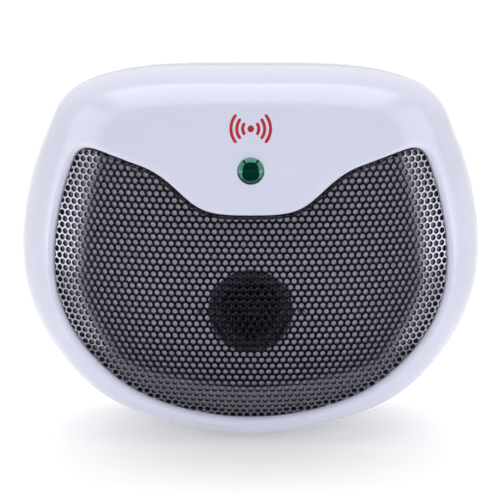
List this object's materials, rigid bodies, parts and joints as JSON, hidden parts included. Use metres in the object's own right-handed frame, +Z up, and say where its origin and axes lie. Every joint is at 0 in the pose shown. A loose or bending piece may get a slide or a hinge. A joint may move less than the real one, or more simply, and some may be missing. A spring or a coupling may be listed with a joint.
{
  "type": "ultrasonic pest repeller",
  "caption": "Free-standing ultrasonic pest repeller: glossy white domed case, black perforated grille over a tweeter, green indicator lens, power inlet and slide switch at the back.",
  "frame": {"origin": "middle of the underside: bottom centre of the bounding box, on the surface the feet stand on", "axes": "+Z up, the grille faces -Y, +X to the right of someone looking at the grille"},
  "size_m": [0.1288, 0.068, 0.1051],
  "materials": {
    "shell_white": "cool white gloss moulding",
    "mesh_black": "black coated perforated sheet, half gloss",
    "plastic_black": "black, matt",
    "baffle_white": "white, satin",
    "lens_green": "deep green, clear, polished",
    "led_body": "tinted, clear",
    "brass": "rolled",
    "ceramic": "fired, silvered",
    "board_green": "green solder mask",
    "core_steel": "stacked laminations",
    "winding": "enamelled copper wire",
    "can_blue": "shrink sleeve on an aluminium can",
    "steel": "zinc plated",
    "foot_rubber": "pale grey, matt",
    "wire_red": "red insulation",
    "wire_black": "black insulation"
  },
  "bodies": {
    "unit": {"front_shell": "shell_white", "rear_shell": "shell_white", "grille": "mesh_black", "grille_clamp": "plastic_black", "baffle": "baffle_white", "tweeter_housing": "plastic_black", "tweeter_cone": "plastic_black", "piezo_disc": "brass", "piezo_ceramic": "ceramic", "led_lens": "lens_green", "status_led": "led_body", "led_clip": "plastic_black", "case_screw_upper_left": "steel", "case_screw_upper_right": "steel", "case_screw_lower_left": "steel", "case_screw_lower_right": "steel", "board_screw_upper_left": "steel", "board_screw_upper_right": "steel", "board_screw_lower_left": "steel", "board_screw_lower_right": "steel", "baffle_screw_left": "steel", "baffle_screw_right": "steel", "tweeter_screw_left": "steel", "tweeter_screw_right": "steel", "led_lead_black": "wire_black", "led_lead_red": "wire_red", "speaker_lead_black": "wire_black", "speaker_lead_red": "wire_red", "front_foot_left": "foot_rubber", "front_foot_right": "foot_rubber", "rear_foot_left": "foot_rubber", "rear_foot_right": "foot_rubber", "main_board": "board_green", "transformer_core": "core_steel", "transformer_coil": "winding", "driver_chip": "plastic_black", "timing_crystal": "steel", "supply_capacitor": "can_blue", "output_capacitor": "can_blue", "dc_jack": "plastic_black", "switch_body": "steel"},
    "power_switch": {"switch_knob": "plastic_black"}
  },
  "joints": [
    {"name": "power_switch_slide", "type": "slide", "parent": "unit", "child": "power_switch", "axis": [1, 0, 0], "range_m": [0, 0.004]}
  ]
}
